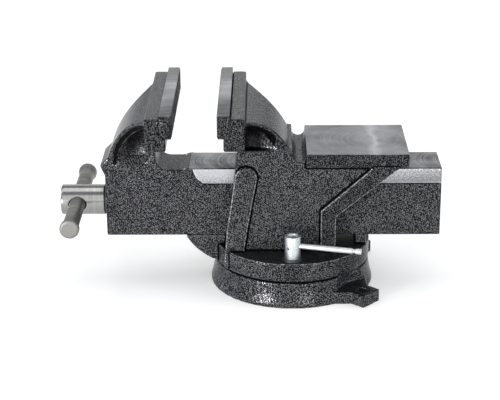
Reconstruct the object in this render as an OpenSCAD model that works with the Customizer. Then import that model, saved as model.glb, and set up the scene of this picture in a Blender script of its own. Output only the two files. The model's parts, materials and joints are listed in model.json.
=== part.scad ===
// Swivel bench vise. Millimetres, +Z up. The origin is on the swivel axis at bench level.
// +X runs to the anvil end, -X to the handle, and the jaws open along X.

/* [Jaws] */
// Width of both jaws
jaw_w = 150; // [120:1:190]
// Opening between the jaw plates as stored
jaw_gap = 38; // [10:1:60]
// Thickness of a jaw plate
plate_t = 11; // [9:0.5:14]
// Height of a jaw plate
plate_h = 21; // [18:0.5:28]
// How far a jaw plate stands above its casting
plate_proud = 3.8; // [1:0.2:6]
// Thickness of the casting behind a jaw plate
head_t = 12.5; // [10:0.5:18]
// Depth of the ledge that a jaw plate stands on
ledge_d = 5.5; // [3:0.5:8]
// Height of the casting under a jaw plate
ledge_h = 11.8; // [8:0.2:18]
// Distance from the swivel axis to the seat of the fixed jaw plate
seat_x = 54; // [50:0.5:62]
// Height of the neck under each jaw
neck_h = 33; // [28:0.5:45]
// Width across the two screws of a jaw plate
plate_screw_span = 90; // [60:1:110]
// Shank diameter of a jaw plate screw
plate_screw_d = 8; // [6:0.5:10]
// Head diameter of a jaw plate screw
plate_screw_head_d = 13; // [11:0.5:16]

/* [Hoods] */
// Thickness of the hood behind each jaw
hood_t = 8; // [6:0.5:10]
// Width of a hood where it leaves the jaw
hood_w = 132; // [110:1:140]
// How far the hood starts below the top of the jaw casting
hood_step = 6.4; // [3:0.2:10]
// Outward bulge of the hood's crown
hood_bulge = 6.4; // [4:0.2:7.6]
// Inward bow of the hood's sides in plan
hood_waist = 5.6; // [3:0.2:8]
// Length of the fixed hood behind its jaw
fixed_hood_run = 41.5; // [38:0.5:43]
// Drop of the fixed hood over its length
fixed_hood_drop = 41; // [36:0.5:44]
// Width of the fixed hood at its rear end
fixed_hood_end_w = 62; // [50:1:74]
// Length of the moving hood ahead of its jaw
moving_hood_run = 37; // [34:0.5:39]
// Drop of the moving hood over its length
moving_hood_drop = 45; // [40:0.5:48]

/* [Slide] */
// Width of the slide
slide_w = 46.2; // [44:0.2:52]
// Height of the slide
slide_h = 63.6; // [60:0.2:70]
// Length of the moving casting from its front face to the end of the slide
slide_l = 300; // [285:1:320]
// Side wall thickness of the slide
slide_wall = 7.6; // [6:0.2:8.2]
// Roof thickness of the slide
slide_roof = 16.4; // [12:0.2:20]
// Clearance around the slide in its tunnel
slide_gap = 0.3; // [0.2:0.05:0.6]
// Height of the machined band along the side of the slide
band_h = 14.6; // [10:0.2:20]
// Depth of the machined band
band_d = 0.6; // [0.3:0.1:1]
// Depth of the painted saddle below the machined top
saddle_d = 1.7; // [0.5:0.1:4]
// Length from the moving jaw's back to the front face of its block
nose_l = 40.5; // [40:0.5:48]
// Thickness of the front wall that carries the lead screw
nose_wall = 25; // [18:0.5:30]

/* [Body] */
// Width across the side panels
panel_w = 79; // [74:0.5:86]
// How far the column pads and ribs stand out from the panels
pad_proud = 3; // [1:0.2:5]
// Height of the rails that carry the slide above the swivel disc
rail_h = 8.6; // [6:0.2:12]
// Thickness of the roof over the slide at the fixed jaw
shelf_t = 22; // [18:0.5:26]
// Length of the anvil
anvil_l = 90; // [75:1:105]
// Width of the anvil
anvil_w = 84; // [80:0.5:100]
// Thickness of the anvil's edge
anvil_t = 12.6; // [10:0.2:15]
// Height of the anvil above the top of the slide
anvil_rise = 19.7; // [17:0.2:26]
// Distance from the swivel axis to the front of the anvil
anvil_x = 12; // [10:0.5:18]

/* [Swivel] */
// Radius of the base where it meets the bench
base_r = 74; // [73:0.5:80]
// Height of the swivel base
base_h = 23.2; // [21:0.2:28]
// Radius of the swivel disc under the body
disc_r = 70.7; // [69:0.2:73]
// Thickness of the swivel disc
disc_t = 18; // [14:0.5:22]
// Radius of the spigot that centres the disc in the base
spigot_r = 42; // [36:0.5:44]
// Depth of the spigot
spigot_h = 8; // [5:0.5:9]
// Radial clearance of the spigot in the base
spigot_gap = 0.06; // [0.02:0.01:0.1]
// Radius of the circular slot that holds the lock bolts
slot_r = 58.5; // [57:0.5:59]
// Reach of the bolt lugs from the swivel axis
lug_r = 95.5; // [92:0.5:110]
// Width of a bolt lug
lug_w = 22.3; // [20:0.1:30]
// Height of a bolt lug
lug_h = 11.5; // [11:0.1:13]
// Radius of the circle through the lug holes
lug_hole_r = 85.6; // [83:0.1:88]
// Diameter of a lug hole
lug_hole_d = 11; // [8:0.5:13]
// Angle of the lugs from the X axis
lug_angle = 43; // [38:1:48]

/* [Lead screw] */
// Diameter of the lead screw
screw_d = 20; // [16:0.5:22]
// Length of the lead screw behind its head
screw_l = 295; // [280:1:297]
// Height of the lead screw above the underside of the slide
screw_rise = 26.3; // [24:0.1:30]
// Radial running clearance of the lead screw in the front wall
screw_gap = 0.07; // [0.03:0.01:0.1]
// Radial clearance of the nut around the outside of the thread
nut_gap = 0.3; // [0.2:0.05:0.5]
// Diameter of the lead screw's head
screw_head_d = 27.5; // [25:0.5:34]
// Length of the lead screw's head
screw_head_l = 40.3; // [36:0.1:48]
// Thickness of the thrust washer under the head
thrust_t = 2; // [1.5:0.1:4]
// Diameter of the thrust washer
thrust_d = 26.5; // [25:0.5:34]
// Diameter of the spring's wire
spring_wire = 3; // [2:0.2:3.6]
// Length of the spring
spring_l = 19.6; // [17:0.2:26]
// Diameter of the retaining pin
pin_d = 5; // [4:0.2:6]
// Length of the lead nut
nut_l = 42; // [36:1:46]

/* [Handle] */
// Diameter of the handle bar
bar_d = 14; // [11:0.2:15]
// Length of the handle over its knobs
bar_l = 150; // [130:1:180]
// Radial sliding clearance of the bar in the screw head
bar_gap = 0.08; // [0.03:0.01:0.1]
// Diameter of a handle knob
knob_d = 17.2; // [17:0.2:22]
// Length of a handle knob
knob_l = 10; // [8:0.5:14]

/* [Swivel locks] */
// Diameter of a lock bolt
bolt_d = 8; // [6:0.5:8.5]
// Diameter of a lock nut
lock_nut_d = 14; // [12:0.5:16]
// Height of a lock nut
lock_nut_h = 21; // [18:0.5:26]
// Diameter of a lock washer
lock_washer_d = 17.6; // [17:0.2:20]
// Thickness of a lock washer
lock_washer_t = 1.4; // [1:0.1:2.4]
// Diameter of a lock lever
lever_d = 5.2; // [4:0.2:6]
// Reach of a lock lever from its bolt
lever_l = 61; // [45:1:75]
// Angle at which a lock lever points away from the body
lever_angle = 14; // [8:1:20]

/* [Hidden] */
$fn = 96;

// Overlap that joins two solids of one casting, and the reach of a cut past a face
joint = 1;
// Clearance of a fixed pin, bolt or screw in its hole
fixed_gap = 0.1;

// Heights, from the bench up
disc_top = base_h + disc_t;
slide_bot = disc_top + rail_h;
slide_top = slide_bot + slide_h;
shelf_z = slide_top + shelf_t;
anvil_top = slide_top + anvil_rise;
anvil_bot = anvil_top - anvil_t;
head_bot = slide_top + neck_h;
ledge_z = head_bot + ledge_h;
plate_top = ledge_z + plate_h;
head_top = plate_top - plate_proud;
hood_top = head_top - hood_step;
screw_z = slide_bot + screw_rise;
band_z = slide_top - band_h;
saddle_z = slide_top - saddle_d;

// Stations along X
fixed_face = -seat_x - plate_t;
moving_face = fixed_face - jaw_gap;
moving_back = moving_face - plate_t;
moving_rear = moving_back - head_t;
nose_x = moving_rear - nose_l;
slide_end = nose_x + slide_l;
cavity_x = nose_x + nose_wall;
head_back = nose_x - thrust_t;
head_front = head_back - screw_head_l;
bar_x = head_back - screw_head_l * 0.62;
head_edge = 2;
screw_tip = 1.5;
screw_end = head_back + screw_l;
anvil_end = anvil_x + anvil_l;

// Body outline in the XZ plane: front foot, brow under the jaw and the rear rib
foot_x = -seat_x - 6;
brow_x = -seat_x + 5.5;
brow_z = shelf_z - 3;
rib_in = 25;
rib_out = 38.5;
rib_in_rise = 39;
rib_out_rise = 33;
rib_in_z = disc_top + rib_in_rise;
rib_out_z = disc_top + rib_out_rise;
rib_tip_x = anvil_end - 7.5;
rib_run = 23;
neck_w = panel_w - 19;

// Height at which the overhanging parts of the body clear the base
skirt_z = base_h + 0.6;

// Column pad: round top, waist, and foot over the rim of the disc
pad_r = 9.8;
pad_top = [-seat_x + 13, slide_top - 2.4];
pad_toe_x = foot_x - 1.3;
pad_heel_x = foot_x + 9;
pad_heel_z = disc_top - 3;
pad_step_x = foot_x + 17;
pad_waist_z = disc_top + 21;
pad_waist_x = [foot_x + 1.6, foot_x + 20];

// Belly ahead of the disc and wall behind the lead nut
belly_reach = 36;
belly_x = foot_x - belly_reach;
belly_root_x = foot_x - 3;
belly_l = 48;
belly_w = slide_w + 2;
belly_bulge = 4;
floor_x = foot_x + 3;
rear_wall_x = 57.5;
rear_wall_t = 9.5;

// Web under the fixed hood
web_sink = 8;
web_front_w = neck_w - 4;
web_swell_x = fixed_hood_run * 0.68;
web_swell_w = panel_w - 1;

// Valley between the hood and the anvil
valley_w = anvil_x - (fixed_hood_run + head_t - seat_x);
valley_x = anvil_x - valley_w / 2;
valley_d = 8.3;
valley_z = anvil_top - valley_d + valley_w / 2;

// Moving casting
moving_neck_x = moving_rear + 4.5;
hood_lap = 3;
saddle_r = 12;
saddle_end = moving_face + 5;
saddle_ramp = 5.5;
beak_out = 4.2;
beak_h = 9.6;
beak_z = hood_top - moving_hood_drop - 17;
scoop_r = 30;
scoop_x = moving_rear - 15.2;
scoop_y = slide_w / 2 + 22.9;
scoop_z = head_bot - 12;
band_start = moving_face + 14;
band_step = 3;
band_run = 9;
band_ramp_z = band_z + 5;
inner_w = slide_w - 2 * slide_wall;
cavity_top = slide_top - slide_roof;

// Jaw plate screws
screw_head_h = 6;
screw_sink = 0.8;
screw_mid_z = ledge_z + plate_h / 2;
screw_reach = head_t - 3;
screw_hole_end = 1;
screw_key_d = plate_screw_d * 0.8;
screw_key_h = 4;

// Spring, washer and pin on the lead screw inside the slide
spring_r = screw_d / 2 + spring_wire / 2 + 0.3;
spring_turns = 4;
spring_rings = 12;
spring_sides = 6;
spring_gap = 0.3;
spring_x = cavity_x + spring_gap;
washer_x = spring_x + spring_l + spring_gap;
washer_t = 3;
washer_d = inner_w - 3;
pin_x = washer_x + washer_t + pin_d / 2 + fixed_gap;

// Lead nut on the floor of the body
nut_w = inner_w - 3;
nut_x = -seat_x + 8;
nut_bolt_d = 8;
nut_bolt_head_d = 13;
nut_bolt_head_h = 8;
nut_bolt_key_d = nut_bolt_d * 0.9;
nut_bolt_key_h = 4;
nut_bolt_z = base_h - spigot_h + 0.5;
nut_hole_l = 15;
nut_bolt_reach = nut_hole_l - 0.5;
nut_bolt_x = [nut_x + nut_l * 0.34, nut_x + nut_l * 0.8];

// Swivel base and its circular slot
recess_floor = base_h - spigot_h - 0.5;
slot_half = bolt_d / 2 + 0.6;
tee_half = slot_half + 2.9;
tee_z = 4.5;
tee_h = 6;
tee_top = tee_z + tee_h;
pocket_r0 = 20;
pocket_r1 = 40;
pocket_h = recess_floor - 5.7;
base_top_r = disc_r - 0.4;
base_foot = 3;
bell_steps = 8;
bell_power = 1.7;
lug_root = base_r - 5;
lug_neck = 13;
lug_root_w = lug_w * 2.16;
scoop_in = slot_r + slot_half + 2;
scoop_out = 37;
lug_angles = [-lug_angle, lug_angle, 180 - lug_angle];
load_hole_d = 18;

// Lock bolts
nut_base = disc_top + lock_washer_t;
lever_z = nut_base + lock_nut_h * 0.56;
stud_top = lever_z - lever_d / 2 - 1;
stud_hole_end = 0.4;
nut_dish_h = 1.6;
nut_dish_d = lock_nut_d - 4;
lever_tail = lock_nut_d / 2 - 1;
lever_cap_l = 5;
lever_cap_d = lever_d + 0.3;
lever_neck_l = 3;
lever_neck_d = lever_d - 1.4;
tee_head_w = 2 * tee_half - 3;
tee_head_l = 15;
tee_head_z = tee_z + 0.6;
tee_gap = 0.15;

// Handle
bar_seat_l = knob_l * 0.65;
knob_lip = 0.5;
knob_edge = 1.6;

// Finishes
paint = "#33363b";
steel = "#b9bcc0";
ground = "#8f9298";
bright = "#d6d9dd";

// Circle through the ends a and b whose crown stands s off the chord, to the left of a to b
function arc_r(a, b, s) = (pow(norm(b - a), 2) / 4 + s * s) / (2 * s);
function arc_c(a, b, s) =
    (a + b) / 2 - (arc_r(a, b, s) - s) * [a[1] - b[1], b[0] - a[0]] / norm(b - a);

// Extrudes a shape drawn in XZ by w, centred on the XZ plane
module across(w) {
    rotate([90, 0, 0]) linear_extrude(w, center = true) children();
}

// A cylinder along +X from x, at height z
module along_x(x, l, d, z = screw_z) {
    translate([x, 0, z]) rotate([0, 90, 0]) cylinder(d = d, h = l);
}

// The jaw frame: plate seat at x = 0, casting on the +x side
module at_fixed_jaw() {
    translate([-seat_x, 0, 0]) children();
}

module at_moving_jaw() {
    translate([moving_back, 0, 0]) mirror([1, 0, 0]) children();
}

// The head of a jaw casting with the ledge under the plate and the two tapped holes
module jaw_head() {
    difference() {
        across(jaw_w) polygon([
            [-ledge_d, head_bot], [head_t, head_bot], [head_t, head_top],
            [0, head_top], [0, ledge_z], [-ledge_d, ledge_z]
        ]);
        for (side = [-1, 1])
            translate([0, side * plate_screw_span / 2, 0])
                along_x(-joint, screw_reach + screw_hole_end + joint,
                    plate_screw_d + 2 * fixed_gap, screw_mid_z);
    }
}

// The hood's crown as a band between two arcs, drawn in XZ behind the jaw head
module hood_side(run, drop) {
    a = [0, hood_top];
    b = [run, hood_top - drop];
    r = arc_r(a, b, hood_bulge);
    intersection() {
        translate(arc_c(a, b, hood_bulge)) difference() {
            circle(r);
            circle(r - hood_t);
        }
        translate([-joint, hood_top - drop]) square([run + joint, drop + hood_bulge]);
    }
}

// The hood in plan, waisted from the jaw to its far end
module hood_plan(run, end_w) {
    a = [0, hood_w / 2];
    b = [run, end_w / 2];
    difference() {
        translate([-joint, -hood_w / 2]) square([run + joint, hood_w]);
        for (side = [0, 1]) mirror([0, side])
            translate(arc_c(b, a, hood_waist)) circle(arc_r(a, b, hood_waist));
    }
}

module hood(run, drop, end_w) {
    translate([head_t, 0, 0]) intersection() {
        across(jaw_w) hood_side(run, drop);
        translate([0, 0, hood_top - drop - joint]) linear_extrude(drop + hood_bulge + 2 * joint)
            hood_plan(run, end_w);
    }
}

// One hardened plate, bored for two counterbored screws
module jaw_plate() {
    difference() {
        translate([-plate_t, -jaw_w / 2, ledge_z]) cube([plate_t, jaw_w, plate_h]);
        for (side = [-1, 1]) translate([0, side * plate_screw_span / 2, 0]) {
            along_x(-plate_t - joint, plate_t + 2 * joint, plate_screw_d + 4 * fixed_gap, screw_mid_z);
            along_x(-plate_t - joint, screw_sink + screw_head_h + joint,
                plate_screw_head_d + 4 * fixed_gap, screw_mid_z);
        }
    }
}

// Two socket screws in one jaw plate
module jaw_screws() {
    for (side = [-1, 1]) translate([0, side * plate_screw_span / 2, 0]) difference() {
        union() {
            along_x(-plate_t + screw_sink, screw_head_h, plate_screw_head_d, screw_mid_z);
            along_x(-plate_t + screw_sink + joint, plate_t - screw_sink - joint + screw_reach,
                plate_screw_d, screw_mid_z);
        }
        translate([-plate_t + screw_sink - joint, 0, screw_mid_z]) rotate([0, 90, 0])
            cylinder(d = screw_key_d, h = screw_key_h + joint, $fn = 6);
    }
}

// Outline of the bell-shaped wall of the base
module base_profile() {
    polygon(concat(
        [[0, 0], [base_r, 0]],
        [for (i = [0 : bell_steps]) let (t = i / bell_steps) [
            base_top_r + (base_r - base_top_r) * pow(1 - t, bell_power),
            base_foot + (base_h - base_foot) * t
        ]],
        [[0, base_h]]
    ));
}

module lug() {
    linear_extrude(lug_h) polygon([
        [slot_r, -lug_root_w / 2], [lug_root, -lug_root_w / 2], [lug_root + lug_neck, -lug_w / 2],
        [lug_r, -lug_w / 2], [lug_r, lug_w / 2], [lug_root + lug_neck, lug_w / 2],
        [lug_root, lug_root_w / 2], [slot_r, lug_root_w / 2]
    ]);
}

module swivel_base() color(paint) difference() {
    union() {
        rotate_extrude() base_profile();
        for (angle = lug_angles) rotate(angle) lug();
    }
    translate([0, 0, recess_floor]) cylinder(r = spigot_r + spigot_gap, h = base_h);
    rotate_extrude() translate([slot_r - slot_half, tee_z + joint]) square([2 * slot_half, base_h]);
    rotate_extrude() translate([slot_r - tee_half, tee_z]) square([2 * tee_half, tee_h]);
    rotate_extrude() translate([pocket_r0, -joint]) square([pocket_r1 - pocket_r0, pocket_h + joint]);
    for (angle = lug_angles) rotate(angle) {
        translate([lug_hole_r, 0, -joint]) cylinder(d = lug_hole_d, h = lug_h + 2 * joint);
        translate([scoop_in + scoop_out, 0, lug_h]) cylinder(r = scoop_out, h = base_h);
    }
    translate([-slot_r, 0, -joint]) cylinder(d = load_hole_d, h = tee_z + 2 * joint);
}

// Side view of the body above the disc
module body_side() {
    polygon([
        [foot_x, disc_top - joint], [brow_x, shelf_z], [valley_x, shelf_z], [valley_x, anvil_top - joint],
        [rib_tip_x, anvil_top - joint], [rib_tip_x, anvil_bot], [rib_out, rib_out_z],
        [rib_out, disc_top - joint]
    ]);
}

// The raised column pad at the front edge of a side panel
module column_pad() {
    translate(pad_top) circle(pad_r);
    polygon([
        [pad_toe_x, skirt_z], [pad_heel_x, skirt_z], [pad_heel_x, pad_heel_z],
        [pad_step_x, disc_top + joint], [pad_waist_x[1], pad_waist_z],
        [pad_top[0] + pad_r, pad_top[1]], [pad_top[0] - pad_r, pad_top[1]],
        [pad_waist_x[0], pad_waist_z]
    ]);
}

// The raised rib that runs up to the anvil
module side_rib() {
    polygon([
        [rib_in, disc_top - joint], [rib_in, rib_in_z], [rib_tip_x - rib_run, anvil_bot + joint],
        [rib_tip_x, anvil_bot + joint], [rib_tip_x, anvil_bot], [rib_out, rib_out_z],
        [rib_out, disc_top - joint]
    ]);
}

// The rounded nose of the body that carries the slide ahead of the disc
module belly() {
    a = [belly_x, slide_bot];
    b = [belly_root_x, skirt_z];
    intersection() {
        translate(arc_c(b, a, belly_bulge)) circle(arc_r(b, a, belly_bulge));
        translate([belly_x, skirt_z]) square([belly_l, slide_bot - skirt_z]);
    }
}

// The web under the fixed hood, drawn in plan
module fixed_web_plan() {
    polygon([
        [-joint, -web_front_w / 2], [web_swell_x, -web_swell_w / 2], [fixed_hood_run, -fixed_hood_end_w / 2],
        [fixed_hood_run, fixed_hood_end_w / 2], [web_swell_x, web_swell_w / 2], [-joint, web_front_w / 2]
    ]);
}

module fixed_web() {
    a = [0, hood_top];
    b = [fixed_hood_run, hood_top - fixed_hood_drop];
    translate([head_t, 0, 0]) intersection() {
        across(panel_w) intersection() {
            translate(arc_c(a, b, hood_bulge)) circle(arc_r(a, b, hood_bulge) - hood_t / 2);
            translate([-joint, shelf_z - web_sink])
                square([fixed_hood_run + joint, hood_top - shelf_z + web_sink]);
        }
        translate([0, 0, shelf_z - web_sink - joint]) linear_extrude(hood_top) fixed_web_plan();
    }
}

module fixed_casting() {
    translate([0, 0, base_h]) cylinder(r = disc_r, h = disc_t);
    translate([0, 0, base_h - spigot_h]) cylinder(r = spigot_r, h = spigot_h + joint);
    across(panel_w) body_side();
    across(panel_w + 2 * pad_proud) {
        column_pad();
        side_rib();
    }
    translate([anvil_x, -anvil_w / 2, anvil_bot]) cube([anvil_l, anvil_w, anvil_t]);
    across(belly_w) belly();
    translate([rear_wall_x, -slide_w / 2, disc_top - joint])
        cube([rear_wall_t, slide_w, rail_h + joint]);
    across(neck_w) polygon([
        [brow_x, brow_z], [-seat_x, head_bot + joint], [-seat_x + head_t + joint, head_bot + joint],
        [-seat_x + head_t + joint, brow_z]
    ]);
    at_fixed_jaw() {
        jaw_head();
        hood(fixed_hood_run, fixed_hood_drop, fixed_hood_end_w);
        fixed_web();
    }
}

module fixed_jaw_body() color(paint) difference() {
    fixed_casting();
    translate([belly_x - joint, -slide_w / 2 - slide_gap, slide_bot])
        cube([anvil_end - belly_x + 2 * joint, slide_w + 2 * slide_gap, slide_h + slide_gap]);
    translate([floor_x, -inner_w / 2, disc_top]) cube([rear_wall_x - floor_x, inner_w, rail_h + joint]);
    translate([valley_x, 0, valley_z]) rotate([90, 0, 0])
        cylinder(d = valley_w, h = anvil_w + 2 * joint, center = true);
    translate([valley_x - valley_w / 2, -anvil_w / 2 - joint, valley_z])
        cube([valley_w, anvil_w + 2 * joint, head_top]);
    for (x = nut_bolt_x) {
        translate([x, 0, 0]) cylinder(d = nut_bolt_d + 4 * fixed_gap, h = slide_bot);
        translate([x, 0, 0])
            cylinder(d = nut_bolt_head_d + 4 * fixed_gap, h = nut_bolt_z + nut_bolt_head_h);
    }
    for (side = [-1, 1]) translate([0, side * slot_r, 0])
        cylinder(d = bolt_d + 4 * fixed_gap, h = slide_bot);
}

// Side view of the moving casting from its nose to the end of the slide
module moving_side() {
    hood_end = [moving_rear - moving_hood_run, hood_top - moving_hood_drop];
    polygon([
        [nose_x, slide_bot], [nose_x, beak_z], [nose_x - beak_out, beak_z + beak_h], hood_end,
        [moving_rear, hood_top - hood_lap], [moving_neck_x, head_bot + joint], [moving_neck_x, saddle_z],
        [saddle_end, saddle_z], [saddle_end + saddle_ramp, slide_top], [slide_end, slide_top],
        [slide_end, slide_bot]
    ]);
    translate([moving_neck_x, saddle_z]) difference() {
        square(saddle_r);
        translate([saddle_r, saddle_r]) circle(saddle_r);
    }
}

// The machined band on one side of the slide, with its run-out at the front
module band_side() {
    polygon([
        [band_start, slide_top + joint], [band_start, slide_top - band_step],
        [band_start + band_step, band_ramp_z], [band_start + band_run, band_z],
        [slide_end + joint, band_z], [slide_end + joint, slide_top + joint]
    ]);
}

module moving_jaw() color(paint) difference() {
    union() {
        difference() {
            across(slide_w) moving_side();
            for (side = [-1, 1])
                translate([scoop_x, side * scoop_y, scoop_z]) sphere(scoop_r);
        }
        at_moving_jaw() {
            jaw_head();
            hood(moving_hood_run, moving_hood_drop, slide_w);
        }
    }
    translate([cavity_x, -inner_w / 2, slide_bot - joint])
        cube([slide_end - cavity_x + joint, inner_w, cavity_top - slide_bot + joint]);
    along_x(nose_x - joint, nose_wall + 2 * joint, screw_d + 2 * screw_gap);
    for (side = [-1, 1]) translate([0, side * (slide_w / 2 - band_d + joint), 0])
        across(2 * joint) band_side();
}

module fixed_jaw_plate() color(ground) at_fixed_jaw() jaw_plate();
module moving_jaw_plate() color(ground) at_moving_jaw() jaw_plate();
module fixed_jaw_screws() color(steel) at_fixed_jaw() jaw_screws();
module moving_jaw_screws() color(steel) at_moving_jaw() jaw_screws();

// The head's outline from its front face to its back face, radius against length
module screw_head_profile() {
    r = screw_head_d / 2;
    polygon([[0, 0], [r - head_edge, 0], [r, head_edge], [r, screw_head_l], [0, screw_head_l]]);
}

module lead_screw() color(bright) difference() {
    union() {
        translate([head_front, 0, screw_z]) rotate([0, 90, 0]) rotate_extrude() screw_head_profile();
        along_x(head_back - joint, screw_l - screw_tip + joint, screw_d);
        translate([screw_end - screw_tip, 0, screw_z]) rotate([0, 90, 0])
            cylinder(d1 = screw_d, d2 = screw_d - 2 * screw_tip, h = screw_tip);
    }
    translate([bar_x, 0, screw_z]) rotate([90, 0, 0])
        cylinder(d = bar_d + 2 * bar_gap, h = screw_head_d + 2 * joint, center = true);
    translate([pin_x, 0, screw_z]) rotate([90, 0, 0])
        cylinder(d = pin_d + 2 * fixed_gap, h = screw_d + 2 * joint, center = true);
}

module thrust_washer() color(steel) difference() {
    along_x(head_back, thrust_t, thrust_d);
    along_x(head_back - joint, thrust_t + 2 * joint, screw_d + 4 * fixed_gap);
}

// The spring is one tube of spring_sides sides swept along a helix
spring_steps = spring_turns * spring_rings;
spring_pitch = (spring_l - spring_wire) / spring_turns;
function spring_point(i, j) = let (
    turn = 360 * i / spring_rings,
    side = 360 * j / spring_sides,
    r = spring_r + spring_wire / 2 * cos(side)
) [
    spring_x + spring_wire / 2 + spring_pitch * i / spring_rings + spring_wire / 2 * sin(side),
    r * sin(turn),
    screw_z + r * cos(turn)
];
spring_points = [for (i = [0 : spring_steps], j = [0 : spring_sides - 1]) spring_point(i, j)];
spring_faces = concat(
    [for (i = [0 : spring_steps - 1], j = [0 : spring_sides - 1], half = [0, 1]) let (
        k = (j + 1) % spring_sides,
        p = i * spring_sides,
        q = p + spring_sides
    ) half == 0 ? [p + j, q + j, p + k] : [p + k, q + j, q + k]],
    [for (j = [1 : spring_sides - 2]) [0, j, j + 1]],
    [for (j = [1 : spring_sides - 2]) let (p = spring_steps * spring_sides) [p, p + j + 1, p + j]]
);

module spindle_spring() color(steel) polyhedron(spring_points, spring_faces);

module spring_washer() color(steel) difference() {
    along_x(washer_x, washer_t, washer_d);
    along_x(washer_x - joint, washer_t + 2 * joint, screw_d + 2 * fixed_gap);
}

module retaining_pin() color(steel) translate([pin_x, 0, screw_z]) rotate([90, 0, 0])
    cylinder(d = pin_d, h = washer_d - 2, center = true);

module lead_nut() color(steel) difference() {
    union() {
        along_x(nut_x, nut_l, nut_w);
        translate([nut_x, -nut_w / 2, disc_top]) cube([nut_l, nut_w, screw_z - disc_top]);
    }
    along_x(nut_x - joint, nut_l + 2 * joint, screw_d + 2 * nut_gap);
    for (x = nut_bolt_x) translate([x, 0, disc_top - joint])
        cylinder(d = nut_bolt_d + 2 * fixed_gap, h = nut_hole_l + joint);
}

module lead_nut_bolts() color(steel) for (x = nut_bolt_x) translate([x, 0, nut_bolt_z]) difference() {
    union() {
        cylinder(d = nut_bolt_head_d, h = nut_bolt_head_h);
        cylinder(d = nut_bolt_d, h = disc_top - nut_bolt_z + nut_bolt_reach);
    }
    translate([0, 0, -joint]) cylinder(d = nut_bolt_key_d, h = nut_bolt_key_h + joint, $fn = 6);
}

// A handle knob about +Y, its inner face at y = 0
module knob() {
    r = knob_d / 2;
    rotate([-90, 0, 0]) difference() {
        rotate_extrude() polygon([
            [0, 0], [bar_d / 2 + knob_lip, 0], [r, knob_l / 2], [r, knob_l - knob_edge],
            [r - knob_edge, knob_l], [0, knob_l]
        ]);
        translate([0, 0, -joint]) cylinder(d = bar_d + 2 * fixed_gap, h = bar_seat_l + joint);
    }
}

module handle_bar() color(steel) translate([bar_x, 0, screw_z]) rotate([90, 0, 0])
    cylinder(d = bar_d, h = bar_l - 2 * (knob_l - bar_seat_l + fixed_gap), center = true);

module handle_knob_far() color(steel) translate([bar_x, bar_l / 2 - knob_l, screw_z]) knob();
module handle_knob_near() color(steel) translate([bar_x, -bar_l / 2 + knob_l, screw_z])
    mirror([0, 1, 0]) knob();

// The lock frame: bolt axis at the origin of XY, the body on the +y side
module at_front_lock() {
    translate([0, -slot_r, 0]) children();
}

module at_rear_lock() {
    mirror([0, 1, 0]) at_front_lock() children();
}

module t_bolt() {
    translate([-tee_head_l / 2, -tee_head_w / 2, tee_head_z])
        cube([tee_head_l, tee_head_w, tee_top - tee_gap - tee_head_z]);
    translate([0, 0, tee_z + joint]) cylinder(d = bolt_d, h = stud_top - tee_z - joint);
}

module lock_washer() {
    translate([0, 0, disc_top]) difference() {
        cylinder(d = lock_washer_d, h = lock_washer_t);
        translate([0, 0, -joint]) cylinder(d = bolt_d + 4 * fixed_gap, h = lock_washer_t + 2 * joint);
    }
}

module lock_nut() {
    difference() {
        translate([0, 0, nut_base]) cylinder(d = lock_nut_d, h = lock_nut_h);
        translate([0, 0, nut_base - joint])
            cylinder(d = bolt_d + 2 * fixed_gap, h = stud_top - nut_base + stud_hole_end + joint);
        rotate(-lever_angle) along_x(-lock_nut_d, 2 * lock_nut_d, lever_d + 2 * fixed_gap, lever_z);
        translate([0, 0, nut_base + lock_nut_h - nut_dish_h])
            cylinder(d = nut_dish_d, h = nut_dish_h + joint);
    }
}

module lock_lever() {
    rotate(-lever_angle) {
        along_x(-lever_tail, lever_l - lever_cap_l - lever_neck_l + lever_tail, lever_d, lever_z);
        along_x(0, lever_l, lever_neck_d, lever_z);
        along_x(lever_l - lever_cap_l, lever_cap_l, lever_cap_d, lever_z);
    }
}

module front_t_bolt() color(steel) at_front_lock() t_bolt();
module rear_t_bolt() color(steel) at_rear_lock() t_bolt();
module front_lock_washer() color(bright) at_front_lock() lock_washer();
module rear_lock_washer() color(bright) at_rear_lock() lock_washer();
module front_lock_nut() color(bright) at_front_lock() lock_nut();
module rear_lock_nut() color(bright) at_rear_lock() lock_nut();
module front_lock_lever() color(bright) at_front_lock() lock_lever();
module rear_lock_lever() color(bright) at_rear_lock() lock_lever();

swivel_base();
fixed_jaw_body();
moving_jaw();
fixed_jaw_plate();
moving_jaw_plate();
fixed_jaw_screws();
moving_jaw_screws();
lead_screw();
thrust_washer();
spindle_spring();
spring_washer();
retaining_pin();
lead_nut();
lead_nut_bolts();
handle_bar();
handle_knob_near();
handle_knob_far();
front_t_bolt();
rear_t_bolt();
front_lock_washer();
rear_lock_washer();
front_lock_nut();
rear_lock_nut();
front_lock_lever();
rear_lock_lever();
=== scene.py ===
"""Looks of the swivel bench vise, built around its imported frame.

The file is laid out as an add-on. Each operator dresses one piece or one group of like pieces,
and main() runs them in order. Lengths are in metres.
"""

import json
import math

import bmesh
import bpy
import numpy as np
from bpy.props import FloatProperty, FloatVectorProperty, IntProperty, PointerProperty
from mathutils import Matrix, Vector
from mathutils.bvhtree import BVHTree


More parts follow.
